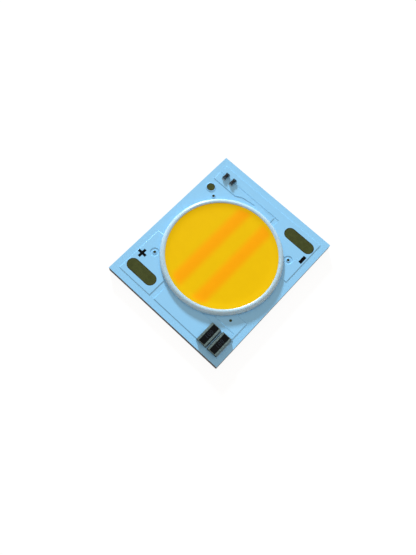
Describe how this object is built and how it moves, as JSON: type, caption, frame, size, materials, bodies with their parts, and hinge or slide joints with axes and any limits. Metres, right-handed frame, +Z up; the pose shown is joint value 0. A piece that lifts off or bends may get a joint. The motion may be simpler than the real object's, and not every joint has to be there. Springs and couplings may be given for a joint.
{
  "type": "chip-on-board led module",
  "caption": "Rectangular aluminium-core board with a round yellow light-emitting surface inside a white dam ring, solder pads, resistors and protection chips.",
  "frame": {"origin": "centre of the board's underside, the mounting face", "axes": "+X along the board's short side, +Y along its long side towards the minus pad's end, +Z up towards the emitter"},
  "size_m": [0.02, 0.024, 0.0018],
  "materials": {
    "base_plate": "sheared aluminium plate with dark edges",
    "insulation": "thin filled epoxy film",
    "copper": "rolled copper foil, covered by the mask",
    "solder_mask": "satin pale blue-white solder mask",
    "plating": "dull olive gold plating",
    "ink": "printed black ink",
    "dam_silicone": "satin white silicone",
    "cool_phosphor": "matte yellow phosphor in silicone",
    "warm_phosphor": "matte orange phosphor in silicone",
    "die": "clear sapphire die",
    "die_attach": "white die glue",
    "bond_wire": "gold wire",
    "resistor_ceramic": "fired alumina",
    "resistor_glaze": "black overglaze",
    "terminal": "dull tin plating",
    "solder": "satin lead-free solder",
    "chip_body": "dark fired ceramic"
  },
  "bodies": {
    "root": {"base_plate": "base_plate", "insulation_layer": "insulation", "positive_copper": "copper", "negative_copper": "copper", "upper_trace_copper": "copper", "link_copper": "copper", "bridge_copper": "copper", "return_copper": "copper", "test_point_copper": "copper", "alignment_dot_copper": "copper", "solder_mask": "solder_mask", "plus_pad": "plating", "minus_pad": "plating", "test_point": "plating", "alignment_dots": "plating", "plus_mark": "ink", "minus_mark": "ink", "dam_ring": "dam_silicone", "cool_phosphor": "cool_phosphor", "warm_phosphor": "warm_phosphor", "cool_dies": "die", "warm_dies": "die", "die_attach": "die_attach", "cool_bond_wires": "bond_wire", "warm_bond_wires": "bond_wire", "inner_resistor_body": "resistor_ceramic", "inner_resistor_glaze": "resistor_glaze", "inner_resistor_terminals": "terminal", "inner_resistor_solder": "solder", "outer_resistor_body": "resistor_ceramic", "outer_resistor_glaze": "resistor_glaze", "outer_resistor_terminals": "terminal", "outer_resistor_solder": "solder", "outer_chip_body": "chip_body", "outer_chip_terminals": "terminal", "outer_chip_solder": "solder", "inner_chip_body": "chip_body", "inner_chip_terminals": "terminal", "inner_chip_solder": "solder"}
  },
  "joints": []
}
